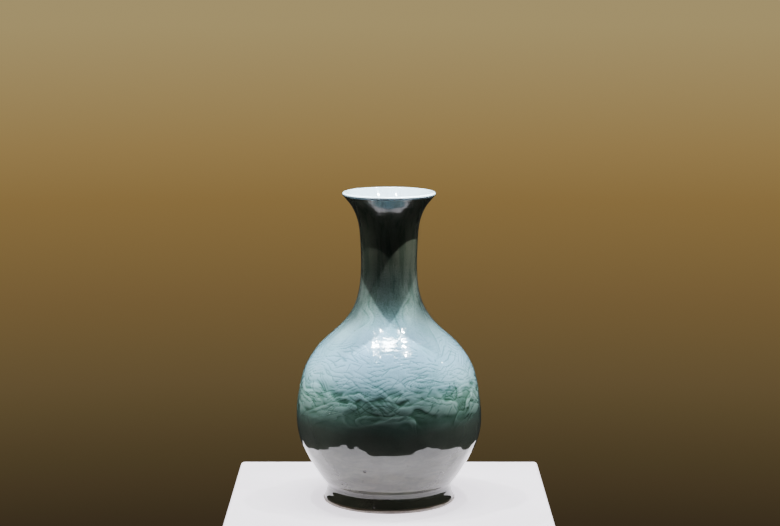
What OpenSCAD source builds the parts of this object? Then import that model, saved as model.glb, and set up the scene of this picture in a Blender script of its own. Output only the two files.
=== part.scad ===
// Globular bottle vase in porcelain: a round belly on a flared foot ring,
// a tall neck and a trumpet mouth, carved under a celadon glaze.
// Built as the potter builds it: turned sections of porcelain paste, the
// slip seams that lute them together, and the glaze coats over them.
// Origin at the centre of the foot, on the ground. +Z up. Millimetres.

/* [Overall] */
// Height from the foot to the top of the lip
vase_h = 300; // [285:1:315]
// Widest diameter of the belly
belly_d = 179.4; // [172:0.2:188]
// Narrowest diameter of the neck
neck_d = 54.6; // [50:0.2:60]
// Diameter over the flared lip
mouth_d = 89.7; // [85:0.1:95]

/* [Foot] */
// Diameter over the flare of the foot ring, at the tread
foot_d = 128.2; // [126:0.2:131]
// Diameter of the groove between the foot ring and the belly
ankle_d = 121.6; // [119:0.2:124]
// Inner diameter of the foot ring at its top
recess_d = 107.2; // [102:0.2:110]
// Height of the foot ring, up to the seam
foot_h = 9; // [8:0.5:10]
// Height up to which the foot is left unglazed
bare_h = 2.5; // [2:0.1:3.5]

/* [Walls] */
// Wall of the belly near the foot, glaze included
foot_wall = 6.6; // [5.5:0.1:7.5]
// Wall of the belly, glaze included
belly_wall = 5.4; // [4.5:0.1:6.5]
// Wall of the neck, glaze included
neck_wall = 4.4; // [3.6:0.1:5]
// Thickness of the rounded lip, glaze included
lip_wall = 3.2; // [2.8:0.1:3.8]
// Height of the inside floor, on the bare paste
floor_z = 15.5; // [14:0.5:17]

/* [Coats and seams] */
// Thickness of each glaze coat
glaze_t = 0.5; // [0.3:0.05:0.7]
// Thickness of each slip seam
slip_t = 0.8; // [0.5:0.1:1.2]
// Height of the seam round the widest part of the belly
belly_seam_z = 84; // [78:1:92]
// Height of the seam between shoulder and neck
shoulder_seam_z = 170; // [166:1:174]
// Height of the seam between neck and trumpet mouth
mouth_seam_z = 262; // [256:1:266]

/* [Fineness] */
// Longest step along the profile
step = 2.4; // [1.6:0.2:4]

/* [Hidden] */
$fn = 120;

belly_r = belly_d / 2;
neck_r = neck_d / 2;
mouth_r = mouth_d / 2;
foot_r = foot_d / 2;
ankle_r = ankle_d / 2;
recess_r = recess_d / 2;
kz = vase_h / 300;

// Stations of the outer surface as [height, radius], foot to lip.
// Each radius hangs on the nearest driving diameter.
profile = [
    [2.5, foot_r - 0.75],
    [7, ankle_r + 0.95],
    [11, ankle_r + 0.3],
    [14, ankle_r - 0.1],
    [16.2, ankle_r + 0.5],
    [20, ankle_r + 3.2],
    [28 * kz, belly_r - 19.9],
    [44 * kz, belly_r - 10.3],
    [62 * kz, belly_r - 2.7],
    [84 * kz, belly_r],
    [106 * kz, belly_r - 1.7],
    [126 * kz, belly_r - 6.4],
    [142 * kz, belly_r - 14.5],
    [156 * kz, belly_r - 26],
    [170 * kz, neck_r + 20.9],
    [184 * kz, neck_r + 9.8],
    [202 * kz, neck_r + 2.7],
    [228 * kz, neck_r],
    [254 * kz, neck_r + 0.8],
    [274 * kz, neck_r + 3.4],
    [288 * kz, mouth_r - 7.7],
    [298 * kz, mouth_r + 0.1]
];

// Natural cubic spline through the stations: the curve of a drawn template.
last = len(profile) - 1;
hz = [for (i = [0:last - 1]) profile[i + 1][0] - profile[i][0]];
dr = [for (i = [0:last - 1]) (profile[i + 1][1] - profile[i][1]) / hz[i]];
// Forward sweep of the tridiagonal system for the second derivatives
function sweep(i, acc) = i > last - 1 ? acc :
    let (p = i == 1 ? [0, 0] : acc[i - 2],
         w = 2 * (hz[i - 1] + hz[i]) - hz[i - 1] * p[0])
    sweep(i + 1, concat(acc, [[hz[i] / w, (6 * (dr[i] - dr[i - 1]) - hz[i - 1] * p[1]) / w]]));
swept = sweep(1, []);
// Back substitution, from the lip down
function settle(i, acc) = i < 1 ? concat([0], acc) :
    settle(i - 1, concat([swept[i - 1][1] - swept[i - 1][0] * acc[0]], acc));
bend = settle(last - 1, [0]);

// Index of the spline span that holds height z
function span(z, i = 0) = i >= last - 1 || z < profile[i + 1][0] ? i : span(z, i + 1);
// Outer radius at height z, and its slope dr/dz
function outer_r(z) = let (i = span(z), h = hz[i], b = (z - profile[i][0]) / h, a = 1 - b)
    a * profile[i][1] + b * profile[i + 1][1]
    + ((pow(a, 3) - a) * bend[i] + (pow(b, 3) - b) * bend[i + 1]) * h * h / 6;
function slope(z) = let (i = span(z), h = hz[i], b = (z - profile[i][0]) / h, a = 1 - b)
    dr[i] + (-(3 * a * a - 1) * bend[i] + (3 * b * b - 1) * bend[i + 1]) * h / 6;
// Outward unit normal of the outer surface, as [radius, height]
function normal(z) = [1, -slope(z)] / norm([1, slope(z)]);
// Point of the wall at depth d behind the outer surface
function layer(z, d) = [outer_r(z), z] - d * normal(z);
// Whole wall thickness at height z
function wall(z) = lookup(z, [
    [0, foot_wall], [20, foot_wall], [50 * kz, belly_wall], [150 * kz, belly_wall],
    [200 * kz, neck_wall], [262 * kz, neck_wall], [292 * kz, lip_wall], [vase_h, lip_wall]]);

// The lip is a half round as thick as the wall; lip_z is where it starts,
// so that its top is exactly vase_h.
lip_rad = lip_wall / 2;
function lip_start(z, n) = n == 0 ? z : lip_start(vase_h - lip_rad * (1 - normal(z)[1]), n - 1);
lip_z = lip_start(vase_h - 2.5, 6);
lip_mid = layer(lip_z, lip_rad);
lip_turn = atan2(normal(lip_z)[1], normal(lip_z)[0]);
// Half round of radius q about the middle of the lip, outside to inside
function lip_arc(q) = [for (k = [1:15]) let (t = lip_turn + 180 * k / 16)
    lip_mid + q * [cos(t), sin(t)]];
// The celadon stops just under the lip, and the white glaze laps over it
celadon_top = lip_z - 0.9;

// Heights between a and b along the profile
function heights(a, b) = let (n = ceil((b - a) / step)) [for (i = [0:n]) a + (b - a) * i / n];
function flip(list) = [for (i = [len(list) - 1:-1:0]) list[i]];
// The bands of the wall, foot to lip, shared by every coat and section
seam_top = foot_h + slip_t;
half = slip_t / 2;
band_foot = heights(bare_h, foot_h);
band_foot_seam = [foot_h, seam_top];
band_lower = heights(seam_top, belly_seam_z - half);
band_belly_seam = [belly_seam_z - half, belly_seam_z + half];
band_upper = heights(belly_seam_z + half, shoulder_seam_z - half);
band_shoulder_seam = [shoulder_seam_z - half, shoulder_seam_z + half];
band_neck = heights(shoulder_seam_z + half, mouth_seam_z - half);
band_mouth_seam = [mouth_seam_z - half, mouth_seam_z + half];
band_mouth = concat(heights(mouth_seam_z + half, celadon_top), [lip_z]);
// Bands whose inside is the open belly, from the top of the floor's corner
corner_z = 26;
band_bowl_in = heights(corner_z, belly_seam_z - half);

function outside(band) = [for (z = band) layer(z, glaze_t)];
function inside(band) = [for (z = band) layer(z, wall(z) - glaze_t)];
function glossed(band) = [for (z = band) layer(z, wall(z))];

// Floor of the bowl: a round corner from the wall down to a flat floor
corner_top = layer(corner_z, wall(corner_z) - glaze_t);
corner_run = [-normal(corner_z)[1], normal(corner_z)[0]];
corner_knee = corner_top - corner_run * (corner_top[1] - floor_z) / corner_run[1];
corner_end = [34, floor_z];
function corner(t) = pow(1 - t, 2) * corner_top + 2 * t * (1 - t) * corner_knee + t * t * corner_end;
function corner_dir(t) = let (v = (1 - t) * (corner_knee - corner_top) + t * (corner_end - corner_knee)) v / norm(v);
// Floor curve raised by d off the paste, from the wall in to the axis
function floor_curve(d) = concat(
    [for (k = [1:12]) let (t = k / 12, v = corner_dir(t)) corner(t) + d * [v[1], -v[0]]],
    [[0, floor_z + d]]);

// Inner face of the foot ring: a bevel, then a slight taper to the seam
bevel_r = recess_r + 1;
function ring_in(z) = lookup(z, [[1.4, bevel_r], [foot_h, recess_r]]);
// The bare edge carries the flare on, down to the rounded edge of the tread
tread_rad = 0.6;
tread_out = foot_r - tread_rad;
tread_in = recess_r + 2.6;

// Turned solid from a closed outline
module turned(outline) { rotate_extrude() polygon(outline); }
// Band of wall between its outer and inner paste faces
module wall_band(band) { turned(concat(outside(band), flip(inside(band)))); }

// Low flared ring that the vase stands on, bare on its tread
module foot_ring() {
    color([0.50, 0.44, 0.38]) turned(concat(
        [[tread_in, 0], [tread_out, 0]],
        [for (k = [1:8]) let (t = 90 * k / 8)
            [tread_out + tread_rad * sin(t), tread_rad * (1 - cos(t))]],
        outside(band_foot),
        [[recess_r, foot_h], [ring_in(bare_h), bare_h], [bevel_r, 1.4]]));
}

// Thrown bowl: the floor and the lower half of the belly
module lower_belly() {
    color([0.87, 0.86, 0.82]) turned(concat(
        [[0, seam_top], [recess_r, seam_top]],
        outside(band_lower),
        flip(inside(band_bowl_in)),
        floor_curve(0)));
}

// Thrown dome: the upper half of the belly and the shoulder
module upper_belly() { color([0.89, 0.88, 0.84]) wall_band(band_upper); }

// Thrown tube of the neck, flared where it meets the shoulder
module neck() { color([0.88, 0.87, 0.83]) wall_band(band_neck); }

// Trumpet mouth with its rounded lip
module trumpet_mouth() {
    color([0.90, 0.89, 0.85]) turned(concat(
        outside(band_mouth), lip_arc(lip_rad - glaze_t), flip(inside(band_mouth))));
}

// Slip that lutes the foot ring under the bowl
module foot_seam() {
    color([0.78, 0.76, 0.70]) turned(concat(
        outside(band_foot_seam), [[recess_r, seam_top], [recess_r, foot_h]]));
}

// Slip that lutes the two halves of the belly
module belly_seam() { color([0.78, 0.76, 0.70]) wall_band(band_belly_seam); }

// Slip that lutes the neck to the shoulder
module shoulder_seam() { color([0.78, 0.76, 0.70]) wall_band(band_shoulder_seam); }

// Slip that lutes the trumpet mouth to the neck
module mouth_seam() { color([0.78, 0.76, 0.70]) wall_band(band_mouth_seam); }

// Heights of the celadon coat, gathered from the bands it covers
celadon_band = concat(band_foot, [seam_top], [for (i = [1:len(band_lower) - 1]) band_lower[i]],
    [for (z = band_upper) z], [for (z = band_neck) z],
    [for (i = [0:len(band_mouth) - 2]) band_mouth[i]]);

// Celadon glaze over the whole outside, from the foot to under the lip
module celadon_glaze() {
    color([0.62, 0.72, 0.71]) turned(concat(
        [for (z = celadon_band) layer(z, 0)], flip(outside(celadon_band))));
}

// White glaze: the lip and the whole inside
module interior_glaze() {
    lap = [celadon_top, lip_z];
    upward = concat(band_bowl_in, band_upper, band_neck, band_mouth);
    color([0.86, 0.92, 0.94]) turned(concat(
        [for (z = lap) layer(z, 0)], lip_arc(lip_rad), flip(glossed(upward)),
        floor_curve(glaze_t), flip(floor_curve(0)),
        inside(upward), flip(lip_arc(lip_rad - glaze_t)), flip(outside(lap))));
}

// White glaze under the base, inside the foot ring
module base_glaze() {
    color([0.84, 0.89, 0.90]) turned([
        [0, seam_top], [recess_r, seam_top], [recess_r, foot_h],
        [ring_in(bare_h), bare_h], [ring_in(bare_h) - glaze_t, bare_h],
        [recess_r - glaze_t, seam_top - glaze_t], [0, seam_top - glaze_t]]);
}

foot_ring();
lower_belly();
upper_belly();
neck();
trumpet_mouth();
foot_seam();
belly_seam();
shoulder_seam();
mouth_seam();
celadon_glaze();
interior_glaze();
base_glaze();
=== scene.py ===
import math

import bpy
import numpy as np
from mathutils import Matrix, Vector


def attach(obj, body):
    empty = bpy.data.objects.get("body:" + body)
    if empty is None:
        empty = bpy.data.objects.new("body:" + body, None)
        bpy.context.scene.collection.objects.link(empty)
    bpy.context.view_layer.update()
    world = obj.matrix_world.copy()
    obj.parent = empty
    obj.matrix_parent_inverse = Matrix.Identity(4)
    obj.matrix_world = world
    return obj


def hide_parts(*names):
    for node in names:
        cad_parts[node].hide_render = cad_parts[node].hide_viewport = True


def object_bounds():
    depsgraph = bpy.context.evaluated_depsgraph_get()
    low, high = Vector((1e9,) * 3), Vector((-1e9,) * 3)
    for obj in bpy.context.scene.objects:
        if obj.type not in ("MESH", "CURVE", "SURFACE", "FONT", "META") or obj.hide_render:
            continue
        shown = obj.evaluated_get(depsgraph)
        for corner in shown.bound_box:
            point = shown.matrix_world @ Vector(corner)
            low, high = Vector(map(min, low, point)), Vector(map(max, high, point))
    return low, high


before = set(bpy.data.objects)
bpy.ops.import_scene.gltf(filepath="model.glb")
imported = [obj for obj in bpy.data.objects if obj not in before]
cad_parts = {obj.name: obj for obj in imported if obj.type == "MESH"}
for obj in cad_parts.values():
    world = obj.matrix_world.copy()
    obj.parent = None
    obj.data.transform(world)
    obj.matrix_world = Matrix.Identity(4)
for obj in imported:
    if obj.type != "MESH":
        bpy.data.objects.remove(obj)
cad_lo, cad_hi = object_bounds()
K = (cad_hi[2] - cad_lo[2]) / 300.0  # metres for each millimetre of the design

# --------------------------------------------------------------------------
# The drawn profile: the same stations as the CAD design, in millimetres
# --------------------------------------------------------------------------
H = 300.0
BELLY, NECK, MOUTH, FOOT, ANKLE, RECESS = 89.7, 27.3, 44.85, 64.1, 60.8, 53.6
STATIONS = np.array([
    [2.5, FOOT - 0.75], [7, ANKLE + 0.95], [11, ANKLE + 0.3], [14, ANKLE - 0.1], [16.2, ANKLE + 0.5],
    [20, ANKLE + 3.2], [28, BELLY - 19.9],
    [44, BELLY - 10.3], [62, BELLY - 2.7], [84, BELLY], [106, BELLY - 1.7], [126, BELLY - 6.4],
    [142, BELLY - 14.5], [156, BELLY - 26], [170, NECK + 20.9], [184, NECK + 9.8],
    [202, NECK + 2.7], [228, NECK], [254, NECK + 0.8], [274, NECK + 3.4],
    [288, MOUTH - 7.7], [298, MOUTH + 0.1]], float)
ZS, RS = STATIONS[:, 0], STATIONS[:, 1]
HZ = np.diff(ZS)
DR = np.diff(RS) / HZ
_n = len(ZS)
_A = np.zeros((_n, _n))
_b = np.zeros(_n)
_A[0, 0] = _A[-1, -1] = 1
for _i in range(1, _n - 1):
    _A[_i, _i - 1], _A[_i, _i], _A[_i, _i + 1] = HZ[_i - 1], 2 * (HZ[_i - 1] + HZ[_i]), HZ[_i]
    _b[_i] = 6 * (DR[_i] - DR[_i - 1])
BEND = np.linalg.solve(_A, _b)


def profile(z):
    """Outer radius and slope dr/dz at height z."""
    z = np.asarray(z, float)
    i = np.clip(np.searchsorted(ZS, z, side="right") - 1, 0, _n - 2)
    h = HZ[i]
    b = (z - ZS[i]) / h
    a = 1 - b
    r = a * RS[i] + b * RS[i + 1] + ((a ** 3 - a) * BEND[i] + (b ** 3 - b) * BEND[i + 1]) * h * h / 6
    s = DR[i] + (-(3 * a * a - 1) * BEND[i] + (3 * b * b - 1) * BEND[i + 1]) * h / 6
    return r, s


def normal(z):
    s = profile(z)[1]
    n = np.sqrt(1 + s * s)
    return 1 / n, -s / n


def wall(z):
    return np.interp(z, [0, 20, 50, 150, 200, 262, 292, 300], [6.6, 6.6, 5.4, 5.4, 4.4, 4.4, 3.2, 3.2])


GLAZE = 0.5
LIP_R = 1.6
lip_z = H - 2.5
for _ in range(8):
    lip_z = H - LIP_R * (1 - float(normal(lip_z)[1]))
_r, _ = profile(lip_z)
_nr, _nz = normal(lip_z)
LIP_MID = (float(_r) - LIP_R * float(_nr), lip_z - LIP_R * float(_nz))
LIP_TURN = math.atan2(float(_nz), float(_nr))
CELADON_TOP = lip_z - 0.9
FOOT_H, SLIP = 9.0, 0.8
BARE = 2.5
SEAM_TOP = FOOT_H + SLIP
BELLY_SEAM, SHOULDER_SEAM, MOUTH_SEAM = 84.0, 170.0, 262.0
CORNER_Z, FLOOR_Z = 26.0, 15.5


# --------------------------------------------------------------------------
# Smooth noise on the surface: sums of sine waves in space, so it has no seam
# --------------------------------------------------------------------------
def swell(P, wavelength, count, seed):
    """Smooth noise of about that wavelength in mm, mean 0, spread about 1."""
    rng = np.random.RandomState(seed)
    d = rng.normal(size=(count, 3))
    d /= np.linalg.norm(d, axis=1)[:, None]
    k = d * (2 * math.pi / wavelength) * rng.uniform(0.7, 1.35, count)[:, None]
    ph = rng.uniform(0, 2 * math.pi, count)
    out = np.zeros(P.shape[:-1])
    for i in range(count):
        out += np.sin(P[..., 0] * k[i, 0] + P[..., 1] * k[i, 1] + P[..., 2] * k[i, 2] + ph[i])
    return out * math.sqrt(2.0 / count)


def smooth(a, b, x):
    t = np.clip((x - a) / (b - a), 0, 1)
    return t * t * (3 - 2 * t)


def blur(F, across, along):
    """Gaussian blur of a grid whose columns run round the vase. Sizes are in cells."""
    n = F.shape[1]
    f = np.fft.rfftfreq(n)
    G = np.fft.irfft(np.fft.rfft(F, axis=1) * np.exp(-2 * (math.pi * f * across) ** 2)[None, :], n, axis=1)
    w = int(math.ceil(3 * along))
    kern = np.exp(-0.5 * (np.arange(-w, w + 1) / along) ** 2)
    kern /= kern.sum()
    pad = np.concatenate([np.repeat(G[:1], w, 0), G, np.repeat(G[-1:], w, 0)])
    out = np.zeros_like(G)
    for i, c in enumerate(kern):
        out += c * pad[i:i + G.shape[0]]
    return out


# --------------------------------------------------------------------------
# The carving, on a grid of the outer surface
# --------------------------------------------------------------------------
COLS, ROWS = 800, 372
_zz = np.linspace(BARE, CELADON_TOP, 6000)
_rr, _ss = profile(_zz)
_len = np.concatenate([[0], np.cumsum(np.sqrt(1 + ((_ss[1:] + _ss[:-1]) / 2) ** 2) * np.diff(_zz))])
LENGTH = _len[-1]
grid_s = np.linspace(0, LENGTH, ROWS)
grid_z = np.interp(grid_s, _len, _zz)
grid_r = profile(grid_z)[0]
theta = np.arange(COLS) * 2 * math.pi / COLS  # 0 faces the viewer, at -Y, and grows towards +X


def s_of(z):
    return float(np.interp(z, _zz, _len))


T2 = np.broadcast_to(theta[None, :], (ROWS, COLS))
Z2 = np.broadcast_to(grid_z[:, None], (ROWS, COLS))
S2 = np.broadcast_to(grid_s[:, None], (ROWS, COLS))
R2 = np.broadcast_to(grid_r[:, None], (ROWS, COLS))
P2 = np.stack([R2 * np.sin(T2), -R2 * np.cos(T2), Z2], -1)

# the carver's hand: every line wanders a little
WU = 2.8 * swell(P2, 38, 20, 11) + 0.35 * swell(P2, 13, 24, 12)
WV = 2.4 * swell(P2, 40, 20, 13) + 0.38 * swell(P2, 12, 24, 14)

depth = np.zeros((ROWS, COLS))   # depth of the cut in the paste
comb = np.zeros((ROWS, COLS))    # running coordinate of the combed lines
combed = np.zeros((ROWS, COLS))  # where the comb was used
rng = np.random.RandomState(5)


def local(tc, sc, turn, warp=1.0):
    """Coordinates in mm about a point of the surface, turned by an angle in degrees."""
    dt = (T2 - tc + math.pi) % (2 * math.pi) - math.pi
    x = dt * R2 + warp * WU
    y = S2 - sc + warp * WV
    c, s = math.cos(math.radians(turn)), math.sin(math.radians(turn))
    return x * c + y * s, -x * s + y * c


def tongue(tc, z, a, b, turn, cut, fade, rings, comb_step, along):
    """One wave tongue: a raised lens whose back edge is cut steeply, the cut fading away behind it."""
    global depth, comb, combed
    x, y = local(tc, s_of(z), turn)
    bend = 0.12 * a * ((x / a) ** 2)
    y = y + bend
    q = np.sqrt((x / a) ** 2 + (y / b) ** 2) + 1e-9
    d = (q - 1) * q / np.sqrt(x * x / a ** 4 + y * y / b ** 4 + 1e-12)
    d = np.clip(d, -60, 60)
    upper = smooth(-0.75, 0.2, y / b)  # the cut is deepest over the crest and dies out below it
    inside = smooth(-0.5, 0.5, -d)
    behind = cut * np.exp(-np.clip(d, 0, None) / fade) * (0.15 + 0.85 * upper)
    within = np.zeros_like(d)
    for k, e in enumerate(rings):
        dk = -d - e
        within = np.maximum(within, (0.42 / (1 + 0.35 * k)) * cut * np.exp(-np.clip(-dk, 0, None) / (fade * 0.55))
                            * smooth(0.55, -0.35, dk) * (0.25 + 0.75 * upper))
    depth = inside * within + (1 - inside) * np.maximum(depth, behind)
    c = np.where(along, y + 0.02 * x * x / max(a, 1) , -d) / comb_step
    comb = np.where(d < 0, c, comb)
    combed = np.where(d < 0, smooth(0.6, 2.2, -d), combed)


# rows of tongues round the belly: a lower row lies in front of the one above it
rows = [
    # height, count, half length, half width, cut, fade, rings
    (128, 7, 36, 8.0, 0.16, 3.4, ()),
    (119, 8, 38, 9.0, 0.26, 4.2, (4.6,)),
    (110, 8, 40, 10.0, 0.44, 5.2, (4.8,)),
    (101, 8, 42, 11.0, 0.62, 6.0, (5.0, 9.0)),
    (92, 7, 46, 11.0, 0.55, 7.0, (5.6,)),
]
for j, (z, n, a, b, cut, fade, rings) in enumerate(rows):
    base = rng.uniform(0, 2 * math.pi)
    for i in range(n):
        t = base + (i + rng.uniform(-0.3, 0.3)) * 2 * math.pi / n
        turn = rng.choice([-1, -1, 1]) * rng.uniform(8, 30)
        tongue(t % (2 * math.pi), z + rng.uniform(-4.5, 4.5), a * rng.uniform(0.65, 1.15),
               b * rng.uniform(0.75, 1.2), turn, cut * rng.uniform(0.6, 1.25), fade * rng.uniform(0.75, 1.25),
               rings, rng.uniform(2.9, 3.9), rng.rand() < 0.55)

# broad hollows where the glaze pools, drawn out along slanting swirls round the belly
hollow = swell(np.stack([P2[..., 0] * 0.75, P2[..., 1] * 0.75, (P2[..., 2] + 0.9 * WV) * 1.9], -1), 46, 30, 61)
hollow += 0.6 * swell(np.stack([P2[..., 0], P2[..., 1], P2[..., 2] * 2.2 + WU * 2], -1), 22, 30, 62)
belly_band = smooth(82, 98, Z2) * smooth(131, 112, Z2)
depth += 0.80 * smooth(0.1, 1.5, hollow) * belly_band


# fine incised lines over the shoulder: families of level lines of a wandering coordinate
def hairlines(turns, spacing, wander, width, cut, seed, cover, lo, hi):
    w1 = wander * swell(P2, 58, 20, seed) + 0.26 * wander * swell(P2, 23, 24, seed + 1) + 0.055 * wander * swell(P2, 9, 28, seed + 2)
    phase = turns * T2 / (2 * math.pi) + (S2 + w1) / spacing
    grad = np.sqrt((turns / (2 * math.pi * R2)) ** 2 + 1 / spacing ** 2)
    d = (phase - np.round(phase)) / grad
    alive = smooth(-cover, 0.55 - cover, swell(np.stack([P2[..., 0], P2[..., 1], P2[..., 2] * 2.4], -1), 30, 26, seed + 3))
    return cut * np.exp(-(d / width) ** 2) * alive * smooth(lo, lo + 10, Z2) * smooth(hi, hi - 14, Z2)


hair = hairlines(2, 4.8, 4.6, 0.55, 0.36, 71, 0.55, 96, 170)
hair = np.maximum(hair, hairlines(-4, 6.2, 5.0, 0.55, 0.34, 81, 0.3, 94, 166))
hair = np.maximum(hair, hairlines(16, 15.0, 4.5, 0.60, 0.34, 91, 0.05, 94, 176))
hair = np.maximum(hair, hairlines(-21, 17.0, 5.0, 0.60, 0.32, 101, -0.05, 92, 170))
depth = depth + hair

# long pointed leaves drawn in outline round the foot of the neck
for i in range(7):
    tc = (i + 0.5) * 2 * math.pi / 7 + 0.28 + rng.uniform(-0.07, 0.07)
    long, wide = 40.0 * rng.uniform(0.9, 1.15), 16.0 * rng.uniform(0.85, 1.15)
    x, y = local(tc, s_of(174), rng.uniform(-9, 9), 0.8)
    x = x + 0.0045 * rng.choice([-1, 1]) * y * y
    t = np.clip(y / long, -1, 1)
    edge = wide * (1 - t * t) * (1 + 0.25 * t) * (R2 / 58.0) ** 0.35
    d = (np.abs(x) - edge) / np.sqrt(1 + (2 * wide * t / long) ** 2)
    live = smooth(1.02, 0.9, np.abs(y / long))
    seen = 0.25 + 0.75 * smooth(-0.7, 0.4, swell(P2, 34, 18, 140 + i))
    cut = (0.32 * np.exp(-np.clip(-d, 0, None) / 3.0) * smooth(0.9, -0.4, d)) * live * seen
    rib = 0.14 * np.exp(-(x / 0.7) ** 2) * live * smooth(0.2, -1.5, d) * smooth(-0.6, 0.3, swell(P2, 22, 16, 120 + i))
    keep = smooth(0.2, -0.6, d) * live
    depth = np.maximum(depth * (1 - 0.5 * keep), np.maximum(cut, rib))

# the carving lives on the belly and shoulder; it dies out over the neck and under the belly
zone = smooth(78, 94, Z2) * smooth(222, 196, Z2)
depth *= zone
combed *= smooth(90, 102, Z2) * smooth(150, 128, Z2)

# wide, low swells of the modelled ground, strongest over the lower belly
swells = (0.25 * swell(P2, 40, 22, 21) + 0.11 * swell(P2, 19, 26, 22)) * (0.16 + 0.84 * smooth(34, 60, Z2) * smooth(128, 96, Z2))
swells += 0.035 * swell(P2, 60, 16, 23)
# faint turning rings
rings = 0.012 * np.sin(S2 * 2 * math.pi / 5.3 + 1.5 * swell(P2, 90, 12, 24))

ends = smooth(BARE + 1.0, BARE + 9, Z2) * smooth(CELADON_TOP - 1.0, CELADON_TOP - 10, Z2)
ground = np.clip(0.34 - swells, 0, 1.2) + rings   # the modelled ground: the coat follows it at an even thickness
ground *= ends
carved = depth * ends
paste_cut = np.clip(ground + carved, 0, 1.8)
# the glaze levels the carving: it sinks a little over it, thins on the crests and pools in the lines
sunk = blur(carved, 0.9, 0.7) * 0.42 + blur(carved, 3.4, 2.4) * 0.40
thick = np.clip(GLAZE + paste_cut - (ground + sunk), 0.2, 2.0)  # true thickness of the coat
glaze_sink = GLAZE + paste_cut - thick


def sample(F, z):
    """A grid field at other heights: rows by linear interpolation along the profile."""
    s = np.interp(z, _zz, _len)
    i = np.clip(s / LENGTH * (ROWS - 1), 0, ROWS - 1 - 1e-9)
    a = i.astype(int)
    f = (i - a)[:, None]
    return F[a] * (1 - f) + F[np.minimum(a + 1, ROWS - 1)] * f


# --------------------------------------------------------------------------
# Turned solids with high resolution
# --------------------------------------------------------------------------
def place(r, z, cols):
    """Points of a ring from radius and height, each a number or one value for each column."""
    t = np.arange(cols) * 2 * math.pi / cols
    r = np.broadcast_to(r, (cols,))
    z = np.broadcast_to(z, (cols,))
    return np.stack([r * np.sin(t), -r * np.cos(t), z], -1)


def layer(z, d, cols):
    """Ring of the wall at depth d behind the outer surface."""
    r, _ = profile(z)
    nr, nz = normal(z)
    return place(r - d * nr, z - d * nz, cols)


def lathe(name, rings, poles=None, values=None, pole_values=(0, 0), sharp=62):
    """A closed mesh from rings of points. Without poles the rings close on themselves; with them both ends close on the axis."""
    rings = np.asarray(rings, float)
    m, n, _ = rings.shape
    co = rings.reshape(-1, 3)
    idx = np.arange(m * n).reshape(m, n)
    a = idx if poles is None else idx[:-1]
    b = np.roll(idx, -1, 0) if poles is None else idx[1:]
    quads = np.stack([a, np.roll(a, -1, 1), np.roll(b, -1, 1), b], -1).reshape(-1, 4)
    loops = [quads.reshape(-1)]
    sizes = [np.full(len(quads), 4)]
    if poles is not None:
        co = np.concatenate([co, np.array([[0, 0, poles[0]], [0, 0, poles[1]]], float)])
        p0, p1 = m * n, m * n + 1
        lo = np.stack([np.full(n, p0), np.roll(idx[0], -1), idx[0]], -1)
        hi = np.stack([np.full(n, p1), idx[-1], np.roll(idx[-1], -1)], -1)
        loops += [lo.reshape(-1), hi.reshape(-1)]
        sizes += [np.full(n, 3), np.full(n, 3)]
    loops, sizes = np.concatenate(loops), np.concatenate(sizes)
    starts = np.concatenate([[0], np.cumsum(sizes)[:-1]])
    # turn it the right way out
    q = co[quads]
    vol = np.einsum("ij,ij->i", q[:, 0], np.cross(q[:, 1], q[:, 2])).sum() + np.einsum("ij,ij->i", q[:, 0], np.cross(q[:, 2], q[:, 3])).sum()
    if vol < 0:
        out = np.empty_like(loops)
        for k in (4, 3):
            sel = np.where(sizes == k)[0]
            if len(sel):
                where = starts[sel][:, None] + np.arange(k)[None, :]
                out[where] = loops[where][:, ::-1]
        loops = out
    me = bpy.data.meshes.new(name)
    me.vertices.add(len(co))
    me.vertices.foreach_set("co", (co * K).astype(np.float32).ravel())
    me.loops.add(len(loops))
    me.loops.foreach_set("vertex_index", loops.astype(np.int32))
    me.polygons.add(len(sizes))
    me.polygons.foreach_set("loop_start", starts.astype(np.int32))
    me.polygons.foreach_set("loop_total", sizes.astype(np.int32))
    me.polygons.foreach_set("use_smooth", np.ones(len(sizes), bool))
    me.update(calc_edges=True)
    me.validate()
    for key, v in (values or {}).items():
        at = me.attributes.new(key, "FLOAT", "POINT")
        v = np.asarray(v, np.float32).reshape(-1)
        if poles is not None:
            v = np.concatenate([v, np.array([v[:n].mean(), v[-n:].mean()], np.float32)])
        at.data.foreach_set("value", v)
    me.set_sharp_from_angle(angle=math.radians(sharp))
    ob = bpy.data.objects.new(name, me)
    bpy.context.scene.collection.objects.link(ob)
    return ob


def columns(F, cols):
    """A grid field at another number of columns."""
    if cols == F.shape[1]:
        return F
    step = F.shape[1] / cols
    i = (np.arange(cols) * step)
    a = i.astype(int)
    f = i - a
    return F[:, a % F.shape[1]] * (1 - f) + F[:, (a + 1) % F.shape[1]] * f


def outer_rings(zs, cols, F):
    """Rings of the outer surface sunk by field F (the paste's cut or the glaze's sink)."""
    d = columns(sample(F, zs), cols)
    return np.stack([layer(z, d[i], cols) for i, z in enumerate(zs)])


# --- celadon coat -----------------------------------------------------------
t_all = theta
edge_foot = 0.30 * np.sin(3 * t_all + 0.6) + 0.18 * np.sin(7 * t_all + 2.0) + 0.10 * np.sin(17 * t_all)
edge_lip = 0.16 * np.sin(4 * t_all + 1.1) + 0.10 * np.sin(9 * t_all + 0.4)


def warped(z, cols=COLS):
    """Heights of a ring, moved near the ends so that the coat stops along a wavy line."""
    k = COLS // cols
    f, l = edge_foot[::k], edge_lip[::k]
    return z + f * np.clip(1 - (z - BARE) / 5.0, 0, 1) + l * np.clip(1 - (CELADON_TOP - z) / 3.0, 0, 1)


def warped_layer(z, d, cols=COLS):
    zc = warped(z, cols)
    r, s = profile(zc)
    nr, nz = normal(zc)
    return place(r - d * nr, zc - d * nz, cols)


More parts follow.
